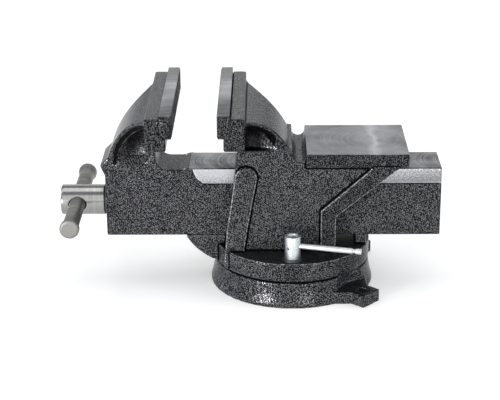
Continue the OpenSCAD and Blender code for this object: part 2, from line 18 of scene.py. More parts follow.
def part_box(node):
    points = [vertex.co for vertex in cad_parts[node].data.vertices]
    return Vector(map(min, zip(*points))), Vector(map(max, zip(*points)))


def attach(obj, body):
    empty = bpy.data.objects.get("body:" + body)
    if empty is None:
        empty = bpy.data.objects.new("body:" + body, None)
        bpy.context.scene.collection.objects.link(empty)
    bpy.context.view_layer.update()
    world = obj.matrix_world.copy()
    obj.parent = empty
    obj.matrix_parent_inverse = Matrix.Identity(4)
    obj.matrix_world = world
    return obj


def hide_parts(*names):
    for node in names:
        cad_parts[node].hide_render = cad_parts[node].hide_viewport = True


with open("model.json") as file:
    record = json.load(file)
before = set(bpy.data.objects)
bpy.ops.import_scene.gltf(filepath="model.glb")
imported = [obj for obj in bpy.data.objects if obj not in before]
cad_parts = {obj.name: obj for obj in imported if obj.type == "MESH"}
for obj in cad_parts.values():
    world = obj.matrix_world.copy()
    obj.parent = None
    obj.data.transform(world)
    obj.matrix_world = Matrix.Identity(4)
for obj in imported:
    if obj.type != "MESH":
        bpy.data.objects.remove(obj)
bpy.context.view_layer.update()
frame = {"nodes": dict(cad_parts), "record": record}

bl_info = {
    "name": "Swivel bench vise",
    "version": (1, 0, 0),
    "blender": (4, 5, 0),
    "location": "View3D > Sidebar > Vise",
    "description": "Dresses the frame of a swivel bench vise",
    "category": "Object",
}

MM = 0.001
# A length past the whole part
FAR = 1.0
ORIGIN = (0.0, 0.0, 0.0)
ALONG_X = Matrix.Rotation(math.radians(90), 4, "Y")
ALONG_Y = Matrix.Rotation(math.radians(-90), 4, "X")
BACK_ALONG_Y = Matrix.Rotation(math.radians(90), 4, "X")


def mount(name):
    """The place of one of the record's mounts."""
    return next(Vector(m["pos_m"]) for m in frame["record"]["mounts"] if m["name"] == name)


# Places read from the frame
SCREW_LOW, SCREW_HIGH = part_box("lead_screw")
BAR_LOW, BAR_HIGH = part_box("handle_bar")
SPRING_LOW, SPRING_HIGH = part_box("spindle_spring")
SCREW_R = (SCREW_HIGH.z - SCREW_LOW.z) / 2
SCREW_Z = (SCREW_HIGH.z + SCREW_LOW.z) / 2
BAR_X = (BAR_LOW.x + BAR_HIGH.x) / 2
BAR_R = (BAR_HIGH.x - BAR_LOW.x) / 2
HEAD_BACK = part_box("thrust_washer")[0].x
PIN_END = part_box("retaining_pin")[1].x
ANVIL_Z = mount("anvil_face").z
LUG_TOP = 2 * mount("lug_pair").z
LUG_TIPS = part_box("swivel_base")[1].x
# The parting between the base and the body, the radius where its rim starts, the height of its lips
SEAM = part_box("swivel_base")[1].z
SEAM_RIM = 66 * MM
SEAM_LIP = 4 * MM
# The top of the body's disc
DISC_TOP = SEAM + 18 * MM
# The slide's milled top, and the lower edge of the bright bands along its sides
SLIDE_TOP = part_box("moving_jaw")[0].z + 63.15 * MM
SLIDE_BAND = 98.8 * MM

# Hoods behind the jaw heads: height and bulge of the crown, width and waist in plan, thickness
HOOD_TOP, HOOD_BULGE = 169 * MM, 6.4 * MM
HOOD_W, HOOD_WAIST = 132 * MM, 5.6 * MM
HOOD_T = 8 * MM
# How far in from its side a hood reaches its full thickness
HOOD_SLOPE = 14 * MM
HOODS = {
    "moving_jaw": {"back": -126.5 * MM, "way": -1, "run": 37 * MM, "drop": 45 * MM, "end": 46.2 * MM},
    "fixed_jaw_body": {"back": -41.5 * MM, "way": 1, "run": 41.5 * MM, "drop": 41 * MM, "end": 62 * MM},
}

# Colours that no setting holds
# Painted shade: near-black paint for creases, hollows under the hoods and shaded faces
PAINTED_SHADE_COLOUR = (0.003, 0.003, 0.0035)
# Painted highlight along the castings' edges
EDGE_HIGHLIGHT = (0.55, 0.55, 0.56)
# Painted highlight: the sheen across the anvil's milled rings
GLINT = (0.8, 0.8, 0.82)
# Dark end of the slide bands: random stain, and painted shade towards their lower edge and the rear
STAIN_AND_SHADE = (0.2, 0.2, 0.21)
TOOTH_STEEL = (0.10, 0.10, 0.105)
OILED_STEEL = (0.11, 0.11, 0.115)
DULL_ZINC = (0.12, 0.125, 0.13)
NUT_IRON = (0.13, 0.125, 0.12)


# Settings

def length_setting(name, description, default):
    return FloatProperty(name=name, description=description, default=default, unit="LENGTH")


def colour_setting(name, description, default):
    return FloatVectorProperty(name=name, description=description, default=default, subtype="COLOR")


def angle_setting(name, description, degrees):
    return FloatProperty(name=name, description=description, subtype="ANGLE",
                         default=math.radians(degrees))


def count_setting(name, description, default):
    return IntProperty(name=name, description=description, default=default)


class CastingSettings(bpy.types.PropertyGroup):
    """Form and finish of the three iron castings"""
    voxel: length_setting("Grain", "Cell size that the castings are re-formed at", 0.95 * MM)
    soften: count_setting("Soften", "Passes that round the edges of the castings", 3)
    blend: count_setting("Blend", "Passes that fill the inner corners under the hoods and at the lugs", 8)
    roll: count_setting("Roll", "Passes that round the lips of the swivel's seam", 14)
    faces: count_setting("Faces", "Most triangles that one casting keeps", 170000)
    paint: colour_setting("Paint", "Dark ground of the hammered paint", (0.005, 0.0051, 0.0057))
    flake: colour_setting("Flake", "Silver flake of the hammered paint", (0.212, 0.215, 0.226))
    cell: length_setting("Flake spacing", "Distance between the flecks of the paint", 1.3 * MM)
    steel: colour_setting("Bare faces", "Colour of the milled and ground faces", (0.165, 0.1665, 0.175))
    band: colour_setting("Slide bands", "Colour of the bright bands along the slide", (0.46, 0.46, 0.475))
    lip: length_setting("Hood lip", "Thickness of a hood at its two sides", 1.6 * MM)


class PlateSettings(bpy.types.PropertyGroup):
    """Jaw plates and their gripping faces"""
    pitch: length_setting("Pitch", "Distance between the teeth of the gripping face", 2.4 * MM)
    depth: length_setting("Depth", "Height of the teeth", 0.7 * MM)
    edge: length_setting("Edge", "Chamfer of the plate's edges", 0.22 * MM)
    colour: colour_setting("Plate steel", "Colour of the ground plates", (0.25, 0.254, 0.266))


class ScrewSettings(bpy.types.PropertyGroup):
    """Lead screw, its spring and the handle"""
    lead: length_setting("Lead", "Travel of the jaw in one turn", 5 * MM)
    thread: length_setting("Thread depth", "Depth of the thread", 2.2 * MM)
    wire: length_setting("Spring wire", "Diameter of the spring's wire", 3 * MM)
    turns: count_setting("Spring turns", "Turns of the spring", 4)
    bright: colour_setting("Bright steel", "Colour of the screw's head", (0.37, 0.37, 0.36))
    satin: colour_setting("Satin steel", "Colour of the handle", (0.27, 0.266, 0.245))


class LockSettings(bpy.types.PropertyGroup):
    """Lever nuts that clamp the swivel"""
    zinc: colour_setting("Zinc", "Colour of the plated nuts and levers", (0.62, 0.645, 0.655))


class StageSettings(bpy.types.PropertyGroup):
    """Camera, floor and light"""
    eye: FloatVectorProperty(name="Eye", description="Place of the camera", subtype="TRANSLATION",
                             default=(-0.02364, -1.26807, 0.55863))
    pitch: angle_setting("Pitch", "How far the camera looks down", 20.88)
    yaw: angle_setting("Yaw", "How far the camera looks to the right", -0.65)
    roll: angle_setting("Roll", "Turn of the camera about its own axis", -0.37)
    lens: FloatProperty(name="Lens", description="Focal length in millimetres on a 36 mm wide sensor",
                        default=107.178)
    floor: colour_setting("Floor", "Colour of the floor", (0.7, 0.7, 0.7))
    glow: FloatProperty(name="Floor glow", description="Light that shines through the floor's paper",
                        default=0.36)


class ViseSettings(bpy.types.PropertyGroup):
    """All settings of the vise"""
    casting: PointerProperty(type=CastingSettings)
    plate: PointerProperty(type=PlateSettings)
    screw: PointerProperty(type=ScrewSettings)
    lock: PointerProperty(type=LockSettings)
    stage: PointerProperty(type=StageSettings)


# Objects and meshes

def new_object(name, data):
    made = bpy.data.objects.new(name, data)
    bpy.context.scene.collection.objects.link(made)
    return made


def bake_modifiers(obj):
    """Turns what the object's modifiers make into its own mesh."""
    depsgraph = bpy.context.evaluated_depsgraph_get()
    depsgraph.update()
    old = obj.data
    obj.data = bpy.data.meshes.new_from_object(obj.evaluated_get(depsgraph))
    obj.modifiers.clear()
    bpy.data.meshes.remove(old)
    return obj


def edit(mesh, change):
    """Runs a change on the mesh's corners, edges and faces."""
    shape = bmesh.new()
    shape.from_mesh(mesh)
    change(shape)
    shape.to_mesh(mesh)
    shape.free()


def merged_copy(node_name, name):
    """A copy of a CAD node whose loose triangles are joined."""
    mesh = frame["nodes"][node_name].data.copy()
    edit(mesh, lambda shape: bmesh.ops.remove_doubles(shape, verts=shape.verts, dist=1e-6))
    mesh.materials.clear()
    return new_object(name, mesh)


def paint_only(obj, material):
    """Gives the object one material."""
    obj.data.materials.clear()
    obj.data.materials.append(material)


def stand_for(obj, body, slot, *nodes):
    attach(obj, body)
    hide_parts(*nodes)


def finished(obj, material, sharp_angle, body, slot, node_name):
    """Shades and paints a piece, and puts it in the place of its CAD node."""
    obj.data.shade_smooth()
    obj.data.set_sharp_from_angle(angle=math.radians(sharp_angle))
    paint_only(obj, material)
    stand_for(obj, body, slot, node_name)


def turned(name, profile, steps):
    """A closed shape turned about +Z from (height, radius) points that start and end on the axis."""
    mesh = bpy.data.meshes.new(name)
    shape = bmesh.new()
    angles = [2 * math.pi * i / steps for i in range(steps)]
    rings = []
    for height, radius in profile:
        if radius < 1e-7:
            rings.append([shape.verts.new((0, 0, height))])
        else:
            spots = [(radius * math.cos(a), radius * math.sin(a), height) for a in angles]
            rings.append([shape.verts.new(spot) for spot in spots])
    for low, high in zip(rings, rings[1:]):
        for i in range(steps):
            j = (i + 1) % steps
            corners = [low[i % len(low)], low[j % len(low)], high[j % len(high)], high[i % len(high)]]
            shape.faces.new(list(dict.fromkeys(corners)))
    bmesh.ops.recalc_face_normals(shape, faces=shape.faces)
    shape.to_mesh(mesh)
    shape.free()
    return new_object(name, mesh)


def rounded(corners, radius, steps=5):
    """A profile whose inner corners are rounded by short arcs."""
    points = [corners[0]]
    for before, corner, after in zip(corners, corners[1:], corners[2:]):
        p, a, b = Vector(corner), Vector(before), Vector(after)
        reach = min(radius, (a - p).length * 0.45, (b - p).length * 0.45)
        start = p + (a - p).normalized() * reach
        end = p + (b - p).normalized() * reach
        for i in range(steps + 1):
            t = i / steps
            points.append(tuple(start * (1 - t) ** 2 + p * 2 * t * (1 - t) + end * t ** 2))
    points.append(corners[-1])
    return points


def flared_bore(name, radius, mouth, flare, steps):
    """A cutter for a hole that widens at both of its mouths."""
    return turned(name, [(-mouth, 0), (-mouth, radius + flare), (-mouth + flare, radius),
                         (mouth - flare, radius), (mouth, radius + flare), (mouth, 0)], steps)


def place(obj, spot, turn=Matrix.Identity(4)):
    """Turns and moves the mesh, so that the object stays at the origin."""
    obj.data.transform(Matrix.Translation(spot) @ turn)
    return obj


def cut(obj, *cutters):
    for cutter in cutters:
        modifier = obj.modifiers.new("cut", "BOOLEAN")
        modifier.operation = "DIFFERENCE"
        modifier.solver = "EXACT"
        modifier.object = cutter
    bake_modifiers(obj)
    for cutter in cutters:
        bpy.data.objects.remove(cutter)


def chamfer(obj, width):
    modifier = obj.modifiers.new("chamfer", "BEVEL")
    modifier.width = width
    modifier.segments = 2
    modifier.limit_method = "ANGLE"
    modifier.angle_limit = math.radians(35)
    bake_modifiers(obj)


def joined(name, *parts):
    """One object from the meshes of several."""
    shape = bmesh.new()
    for part in parts:
        shape.from_mesh(part.data)
    mesh = bpy.data.meshes.new(name)
    shape.to_mesh(mesh)
    shape.free()
    for part in parts:
        bpy.data.objects.remove(part)
    return new_object(name, mesh)


# Node trees

def node(tree, kind, inputs=None, **settings):
    """Adds a node, sets it up and feeds its inputs with values or with other nodes' sockets."""
    made = tree.nodes.new(kind)
    for key, value in settings.items():
        setattr(made, key, value)
    for key, value in (inputs or {}).items():
        if isinstance(value, bpy.types.NodeSocket):
            tree.links.new(value, made.inputs[key])
        else:
            made.inputs[key].default_value = value
    return made


def math_node(tree, operation, *values, clamp=False):
    made = node(tree, "ShaderNodeMath", dict(enumerate(values)), operation=operation, use_clamp=clamp)
    return made.outputs[0]


def plus(tree, a, b):
    return math_node(tree, "ADD", a, b)


def minus(tree, a, b):
    return math_node(tree, "SUBTRACT", a, b)


def times(tree, a, b):
    return math_node(tree, "MULTIPLY", a, b)


def over(tree, a, b):
    return math_node(tree, "DIVIDE", a, b)


def larger(tree, a, b):
    return math_node(tree, "MAXIMUM", a, b)


def vector_node(tree, operation, a, b, key=1, output=0):
    return node(tree, "ShaderNodeVectorMath", {0: a, key: b}, operation=operation).outputs[output]


def split(tree, vector):
    """The X, Y and Z of a vector."""
    return node(tree, "ShaderNodeSeparateXYZ", {0: vector}).outputs


def noise(tree, vector, scale, detail=2.0, roughness=0.5, output=0):
    values = {"Vector": vector, "Scale": scale, "Detail": detail, "Roughness": roughness}
    return node(tree, "ShaderNodeTexNoise", values).outputs[output]


def ramp(tree, value, low, high, start=0.0, end=1.0):
    """The value mapped from low..high to start..end, held at both ends."""
    values = {"Value": value, "From Min": low, "From Max": high, "To Min": start, "To Max": end}
    return node(tree, "ShaderNodeMapRange", values).outputs[0]


def between(tree, factor, low, high):
    """A colour that goes from low to high with the factor."""
    mix = node(tree, "ShaderNodeMix", {0: factor}, data_type="RGBA")
    for socket, value in ((mix.inputs[6], low), (mix.inputs[7], high)):
        if isinstance(value, bpy.types.NodeSocket):
            tree.links.new(value, socket)
        else:
            socket.default_value = (*value, 1)
    return mix.outputs[2]


def value_between(tree, factor, low, high):
    return node(tree, "ShaderNodeMix", {0: factor, 2: low, 3: high}).outputs[0]


def new_group(name, kind, inputs, outputs):
    """A node group with named sockets and its input node. An input is given by its default or its type."""
    group = bpy.data.node_groups.new(name, kind)
    for title, given in inputs.items():
        if isinstance(given, str):
            group.interface.new_socket(title, in_out="INPUT", socket_type=given)
            continue
        socket = "NodeSocketVector" if isinstance(given, tuple) else "NodeSocketFloat"
        group.interface.new_socket(title, in_out="INPUT", socket_type=socket).default_value = given
    for title, socket in outputs.items():
        group.interface.new_socket(title, in_out="OUTPUT", socket_type=socket)
    return group, group.nodes.new("NodeGroupInput").outputs


def new_effect(name, inputs, *outputs):
    """A shader node group that puts out values."""
    return new_group(name, "ShaderNodeTree", inputs, dict.fromkeys(outputs, "NodeSocketFloat"))


def new_shape(name, sizes):
    """A geometry node group with named sizes and a material."""
    return new_group(name, "GeometryNodeTree", {**sizes, "Material": "NodeSocketMaterial"},
                     {"Geometry": "NodeSocketGeometry"})


def close_group(group, values):
    end = group.nodes.new("NodeGroupOutput")
    for title, socket in values.items():
        group.links.new(socket, end.inputs[title])
    return group


def close_shape(group, geometry, given):
    """Ends a geometry node group with real faces of the given material."""
    real = node(group, "GeometryNodeRealizeInstances", {0: geometry})
    done = node(group, "GeometryNodeSetMaterial", {
        "Geometry": real.outputs[0], "Material": given["Material"]})
    return close_group(group, {"Geometry": done.outputs[0]})


def grown(name, group, values):
    """Runs a Geometry Nodes tree and keeps its result as a plain mesh."""
    obj = new_object(name, bpy.data.meshes.new(name + "_seed"))
    modifier = obj.modifiers.new("shape", "NODES")
    modifier.node_group = group
    for item in group.interface.items_tree:
        if item.name in values:
            modifier[item.identifier] = values[item.name]
    return bake_modifiers(obj)


# Effects that the materials share

def hammer_group():
    """Flecks and dimples of hammered paint."""
    group, given = new_effect("Hammered paint", {"Vector": ORIGIN, "Cells": 800.0}, "Fleck", "Height")
    cells = given["Cells"]
    spot = node(group, "ShaderNodeVectorRotate", {"Vector": given["Vector"], "Rotation": (0.6, 0.4, 0.9)},
                rotation_type="EULER_XYZ").outputs[0]
    stir = noise(group, spot, times(group, cells, 1.3), 1.0, output="Color")
    shift = vector_node(group, "SUBTRACT", stir, (0.5, 0.5, 0.5))
    shift = vector_node(group, "SCALE", shift, over(group, 0.6, cells), "Scale")
    lattice = {"Vector": vector_node(group, "ADD", spot, shift), "Scale": cells, "Randomness": 0.62}
    chip = node(group, "ShaderNodeTexVoronoi", lattice).outputs
    dimple = node(group, "ShaderNodeTexVoronoi", lattice, feature="SMOOTH_F1").outputs
    lots = node(group, "ShaderNodeSeparateColor", {0: chip["Color"]}).outputs
    reach = plus(group, chip["Distance"], times(group, lots[1], 0.15))
    flake = times(group, ramp(group, lots[0], 0.1, 0.9, 0.6, 1.0), ramp(group, reach, 0.62, 0.24))
    dust = noise(group, spot, times(group, cells, 2.2), 2.0, 0.6)
    haze = ramp(group, dust, 0.48, 0.72, 0.0, 0.05)
    patch = ramp(group, noise(group, spot, times(group, cells, 0.1)), 0.3, 0.7, 0.85, 1.1)
    fleck = math_node(group, "MULTIPLY", larger(group, flake, haze), patch, clamp=True)
    height = plus(group, ramp(group, dimple["Distance"], 0.05, 0.7), times(group, dust, 0.4))
    return close_group(group, {"Fleck": fleck, "Height": height})


def streaks(group, along, spot, lines):
    """Streak and height of fine lines across the given length, with broad bands and cloudy patches."""
    line = node(group, "ShaderNodeCombineXYZ", {"X": along}).outputs[0]
    fine = noise(group, line, lines, 4.0, 0.65)
    band = noise(group, line, times(group, lines, 0.16), 1.0)
    cloud = noise(group, spot, 38.0, 3.0)
    total = times(group, fine, 0.5)
    for part, share in ((band, 0.12), (cloud, 0.38)):
        total = plus(group, total, times(group, part, share))
    return ramp(group, total, 0.4, 0.6), fine


def mill_group():
    """Sweeps of a cutter or grinding wheel on a bare face: rings about a centre, and their sheen as a
    painted highlight.
    """
    group, given = new_effect("Mill marks", {"Vector": ORIGIN, "Centre": ORIGIN, "Lines": 300.0},
                              "Streak", "Height", "Sheen")
    spot, centre = given["Vector"], given["Centre"]
    away = vector_node(group, "DISTANCE", spot, centre, output="Value")
    streak, height = streaks(group, away, spot, given["Lines"])
    beside = split(group, vector_node(group, "SUBTRACT", spot, centre))
    sway = ramp(group, noise(group, spot, 60.0), 0.3, 0.7, -2.5 * MM, 2.5 * MM)
    aside = math_node(group, "ABSOLUTE", plus(group, beside[0], sway))
    turn = over(group, aside, plus(group, away, 20 * MM))
    bow = plus(group, ramp(group, turn, 0.14, 0.0, 0.0, 0.6), ramp(group, turn, 0.5, 0.0, 0.0, 0.4))
    return close_group(group, {"Streak": streak, "Height": height, "Sheen": bow})


def feed_group():
    """Arcs that a face cutter leaves on a slide while it is fed along X."""
    group, given = new_effect("Feed marks", {"Vector": ORIGIN, "Cutter": 30 * MM, "Lines": 400.0},
                              "Streak", "Height")
    at = split(group, given["Vector"])
    rest = minus(group, times(group, given["Cutter"], given["Cutter"]), times(group, at[1], at[1]))
    bow = math_node(group, "SQRT", larger(group, rest, 0.0))
    streak, height = streaks(group, plus(group, at[0], bow), given["Vector"], given["Lines"])
    return close_group(group, {"Streak": streak, "Height": height})


def zone_group():
    """A mask that is 1 inside a box and fades over the blur at its faces."""
    corners = {"Vector": ORIGIN, "Low": ORIGIN, "High": ORIGIN}
    group, given = new_effect("Bare zone", {**corners, "Blur": 0.3 * MM}, "Mask")
    above = vector_node(group, "SUBTRACT", given["Vector"], given["Low"])
    below = vector_node(group, "SUBTRACT", given["High"], given["Vector"])
    inside = split(group, vector_node(group, "MINIMUM", above, below))
    least = math_node(group, "MINIMUM", inside[0], math_node(group, "MINIMUM", inside[1], inside[2]))
    return close_group(group, {"Mask": math_node(group, "DIVIDE", least, given["Blur"], clamp=True)})


# Materials

def new_material(name):
    """A material with its Principled shader and object coordinates."""
    material = bpy.data.materials.new(name)
    material.use_nodes = True
    tree = material.node_tree
    spot = node(tree, "ShaderNodeTexCoord").outputs["Object"]
    return material, tree, tree.nodes["Principled BSDF"], spot


def effect(tree, title, inputs):
    """Places one of the shared effects in a material."""
    return node(tree, "ShaderNodeGroup", inputs, node_tree=bpy.data.node_groups[title]).outputs


def bump(tree, shader, height, distance, strength=1.0):
    made = node(tree, "ShaderNodeBump", {"Height": height, "Distance": distance, "Strength": strength})
    tree.links.new(made.outputs[0], shader.inputs["Normal"])


def attribute(tree, name):
    return node(tree, "ShaderNodeAttribute", attribute_name=name).outputs["Fac"]


def shades(colour, contrast):
    """A darker and a lighter shade of a colour."""
    return (tuple(share * c for c in colour) for share in (1 - contrast, 1 + contrast))


def casting_material(name, settings, zones, bare_steel, marks, bow=0.0, painted_shade_zones=()):
    """Hammered paint, bare in zones of (low, high, bright) and painted shade in (low, high, strength)."""
    material, tree, shader, spot = new_material(name)

    def inside(low, high, blur):
        return effect(tree, "Bare zone", {"Vector": spot, "Low": low, "High": high, "Blur": blur})["Mask"]

    hammer = effect(tree, "Hammered paint", {"Vector": spot, "Cells": 1 / settings.cell})
    fleck, height = hammer["Fleck"], hammer["Height"]
    # Painted highlights along the edges, broken into flecks; painted shade in creases, hollows and zones,
    # which also takes away reflections
    highlight_breaks = ramp(tree, noise(tree, spot, 0.8 / settings.cell), 0.35, 0.6)
    edge = times(tree, ramp(tree, attribute(tree, "edge"), 0.35, 0.85), highlight_breaks)
    painted_shade = larger(tree, ramp(tree, attribute(tree, "crevice"), 0.05, 0.5),
                   ramp(tree, attribute(tree, "hollow"), 0.31, 0.45, 0.0, 0.9))
    for low, high, strength in painted_shade_zones:
        painted_shade = larger(tree, painted_shade, times(tree, inside(low, high, 0.4 * MM), strength))
    colour = between(tree, fleck, settings.paint, settings.flake)
    colour = between(tree, painted_shade, colour, PAINTED_SHADE_COLOUR)
    colour = between(tree, times(tree, edge, 0.7), colour, EDGE_HIGHLIGHT)
    rough = larger(tree, ramp(tree, fleck, 0.0, 1.0, 0.2, 0.26), times(tree, painted_shade, 0.6))
    metal = larger(tree, ramp(tree, fleck, 0.0, 1.0, 0.0, 0.8), painted_shade)
    if zones:
        title, values, contrast = marks
        mill = effect(tree, title, {"Vector": spot, **values})
        steel = between(tree, mill["Streak"], *shades(bare_steel, contrast))
        # The anvil's sheen is a painted highlight
        if bow:
            steel = between(tree, times(tree, mill["Sheen"], bow), steel, GLINT)
        # The bright bands darken in random stain mottles, and in painted shade towards their lower edge
        # and the rear
        at = split(tree, spot)
        pits = noise(tree, spot, 800.0, 3.0)
        unstained_and_lit = plus(tree, pits, ramp(tree, at[2], SLIDE_BAND, SLIDE_BAND + 9 * MM, -0.1, 0.1))
        unstained_and_lit = minus(tree, unstained_and_lit, ramp(tree, at[0], 0.0, 130 * MM, -0.02, 0.16))
        stained_and_shaded_band = between(tree, ramp(tree, unstained_and_lit, 0.36, 0.58), STAIN_AND_SHADE, settings.band)
        bare = None
        for low, high, bright in zones:
            mask = inside(low, high, 0.2 * MM)
            colour = between(tree, mask, colour, stained_and_shaded_band if bright else steel)
            bare = larger(tree, bare, mask) if bare else mask
        rough = value_between(tree, bare, rough, ramp(tree, mill["Streak"], 0.0, 1.0, 0.36, 0.27))
        metal = larger(tree, metal, bare)
        height = value_between(tree, bare, height, times(tree, mill["Height"], 0.05))
    for title, socket in (("Base Color", colour), ("Roughness", rough), ("Metallic", metal)):
        tree.links.new(socket, shader.inputs[title])
    shader.inputs["Specular IOR Level"].default_value = 0.06
    bump(tree, shader, height, 0.08 * MM, 0.9)
    return material


def steel_material(name, colour, roughness, lines, contrast, centre=ORIGIN, depth=0.004 * MM):
    """Bare or plated steel with fine tool marks about a centre."""
    material, tree, shader, spot = new_material(name)
    mill = effect(tree, "Mill marks", {"Vector": spot, "Centre": centre, "Lines": lines})
    darker, _ = shades(colour, contrast)
    tint = between(tree, mill["Streak"], darker, colour)
    tree.links.new(tint, shader.inputs["Base Color"])
    rough = ramp(tree, mill["Streak"], 0.0, 1.0, roughness * 1.2, roughness * 0.85)
    tree.links.new(rough, shader.inputs["Roughness"])
    shader.inputs["Metallic"].default_value = 1.0
    bump(tree, shader, mill["Height"], depth)
    return material


# Castings

# A softened point this close to its CAD face goes back onto it
HELD = 0.12 * MM
# Points this far under the CAD surface are the cut-back underside of a hood
CUT_BACK = 0.9 * MM
# Rounding for a full painted edge highlight; corner fill where its painted shade line starts, and its rise
EDGE_DEPTH = 0.45 * MM
CREVICE_START, CREVICE_RISE = 0.06 * MM, 0.15 * MM
# Painted highlight on edges outside the highlight zone, and the painted shade under a hood's lip
FAINT_EDGE_HIGHLIGHT = 0.3
LIP_PAINTED_SHADE = 0.6


def column(items, key, width, kind=np.float64):
    """One property of a mesh's items, a row for each item."""
    values = np.empty(len(items) * width, kind)
    items.foreach_get(key, values)
    return values.reshape(-1, width)


def set_points(mesh, points):
    mesh.vertices.foreach_set("co", points.ravel())
    mesh.update()


def relaxed(points, edges, passes, zone=None, normals=None):
    """Moves points halfway to their neighbours' mean; in a zone only outwards, to fill inner corners."""
    count = np.bincount(edges.ravel(), minlength=len(points))[:, None]
    a, b = edges.T
    for _ in range(passes):
        sums = [np.bincount(a, points[b, k], len(points)) + np.bincount(b, points[a, k], len(points))
                for k in range(3)]
        step = (np.stack(sums, axis=1) / count - points) * 0.5
        if zone is not None:
            step *= (zone & ((step * normals).sum(1) > 0))[:, None]
        points = points + step
    return points


def nearest(surface, points):
    """For each point, the closest spot on the CAD surface and how far outside it the point lies."""
    spots, depths = [], []
    for point in points:
        spot, normal, _, _ = surface.find_nearest(point)
        spots.append(spot)
        depths.append((Vector(point) - spot).dot(normal))
    return np.array(spots), np.array(depths)


def filled_cells(surface, low, first, shape, cell, margin):
    """A grid that is 1 where the casting has metal, from rays that go up through it."""
    fill = np.zeros(shape)
    up = Vector((0, 0, 1))
    most_walls = 40
    for i in range(margin, shape[0] - margin):
        for j in range(margin, shape[1] - margin):
            spot = Vector((first[0] + (i + 0.5) * cell, first[1] + (j + 0.5) * cell, low.z - cell))
            walls = []
            hit = surface.ray_cast(spot, up)[0]
            while hit is not None and len(walls) < most_walls:
                walls.append(hit.z)
                hit = surface.ray_cast(hit + up * 0.01 * MM, up)[0]
            for start, end in zip(walls[::2], walls[1::2]):
                a, b = ((np.array((start, end)) - first[2]) / cell + 0.5).astype(int)
                fill[i, j, a:b] = 1
    return fill


def hollowness(surface, low, high, points, normals):
    """How much of the casting surrounds each point, from a blurred grid of its metal."""
    cell, blur, look_out = 2.5 * MM, 4, 5 * MM
    margin = 3 * blur
    first = np.array(low) - margin * cell
    shape = np.ceil((np.array(high) - first) / cell).astype(int) + margin
    fill = filled_cells(surface, low, first, shape, cell, margin)
    for axis in (0, 1, 2):
        for _ in range(2):
            total = np.cumsum(fill, axis=axis)
            fill = (np.roll(total, -blur, axis) - np.roll(total, blur + 1, axis)) / (2 * blur + 1)
            layers = np.moveaxis(fill, axis, 0)
            layers[-margin // 2:] = 0
            layers[:margin // 2] = 0
    at = (points + normals * look_out - first) / cell - 0.5
    base = np.floor(at).astype(int)
    part = at - base
    value = np.zeros(len(points))
    for corner in np.ndindex(2, 2, 2):
        weight = np.prod(np.where(corner, part, 1 - part), axis=1)
        value += weight * fill[tuple((base + corner).T)]
    return value


def arc_between(a, b, bulge):
    """Centre and radius of the arc from a to b whose crown stands off the chord by the bulge."""
    a, b = np.array(a), np.array(b)
    chord = np.linalg.norm(b - a)
    radius = (chord ** 2 / 4 + bulge ** 2) / (2 * bulge)
    across = np.array((a[1] - b[1], b[0] - a[0])) / chord
    return (a + b) / 2 - (radius - bulge) * across, radius


def eased(value, low, high):
    share = np.clip((value - low) / (high - low), 0, 1)
    return share * share * (3 - 2 * share)


def thinned(points, hood, lip):
    """Slopes the underside of a hood up to a thin lip at both sides."""
    x = (points[:, 0] - hood["back"]) * hood["way"]
    y = np.abs(points[:, 1])
    run = hood["run"]
    root_z = HOOD_TOP - hood["drop"]
    crown, crown_r = arc_between((0, HOOD_TOP), (run, root_z), HOOD_BULGE)
    plan, plan_r = arc_between((run, hood["end"] / 2), (0, HOOD_W / 2), HOOD_WAIST)
    from_crown = np.stack((x - crown[0], points[:, 2] - crown[1]), 1)
    from_plan = np.stack((x - plan[0], y - plan[1]), 1)
    crown_far = np.linalg.norm(from_crown, axis=1)
    plan_far = np.linalg.norm(from_plan, axis=1)
    depth = crown_r - crown_far
    inset = plan_far - plan_r
    excess = depth - lip - (HOOD_T - lip) / HOOD_SLOPE * inset
    near = (x > 0) & (x < run) & (depth < HOOD_T + 0.4 * MM) & (inset > -0.6 * MM) & (excess > 0)
    near &= points[:, 2] > root_z - HOOD_T
    fade = eased(x, 0, 3 * MM) * (1 - eased(x, 0.75 * run, 0.97 * run))
    share = np.where(near, excess / (HOOD_T - lip), 0) * fade
    inward = from_plan / plan_far[:, None] * (share * HOOD_SLOPE / 2)[:, None]
    upward = from_crown / crown_far[:, None] * (share * (HOOD_T - lip) / 2)[:, None]
    moved = points.copy()
    moved[:, 0] += (inward[:, 0] + upward[:, 0]) * hood["way"]
    moved[:, 1] += inward[:, 1] * np.sign(points[:, 1])
    moved[:, 2] += upward[:, 1]
    return moved


def in_zones(points, zones):
    inside = np.zeros(len(points), bool)
    for low, high in zones:
        inside |= np.all((points > np.array(low)) & (points < np.array(high)), axis=1)
    return inside


def cast_form(node_name, settings, corners, rolled, edge_highlight_zone):
    """A casting with rounded edges, re-formed from its CAD solid; flat and bored faces stay in place."""
    obj = merged_copy(node_name, node_name + "_casting")
    mesh = obj.data
    surface = BVHTree.FromPolygons([v.co for v in mesh.vertices], [p.vertices for p in mesh.polygons])
    remesh = obj.modifiers.new("grain", "REMESH")
    remesh.mode = "VOXEL"
    remesh.voxel_size = settings.voxel
    mesh = bake_modifiers(obj).data
    edges = column(mesh.edges, "vertices", 2, np.int64)
    points = relaxed(column(mesh.vertices, "co", 3), edges, settings.soften)
    spots, depths = nearest(surface, points)
    held = np.abs(depths) < HELD
    points[held] = spots[held]
    if node_name in HOODS:
        points = thinned(points, HOODS[node_name], settings.lip)
    if rolled:
        points = np.where(rolled(points)[:, None], relaxed(points, edges, settings.roll), points)
    set_points(mesh, points)
    normals = column(mesh.vertex_normals, "vector", 3)
    set_points(mesh, relaxed(points, edges, settings.blend, in_zones(points, corners), normals))
    mesh.shade_smooth()
    thin = obj.modifiers.new("thin", "DECIMATE")
    thin.ratio = min(1.0, settings.faces / (2 * len(mesh.polygons)))
    obj.modifiers.new("shade", "WEIGHTED_NORMAL")
    mark_painted_light(bake_modifiers(obj).data, node_name, surface, corners, edge_highlight_zone)
    return obj


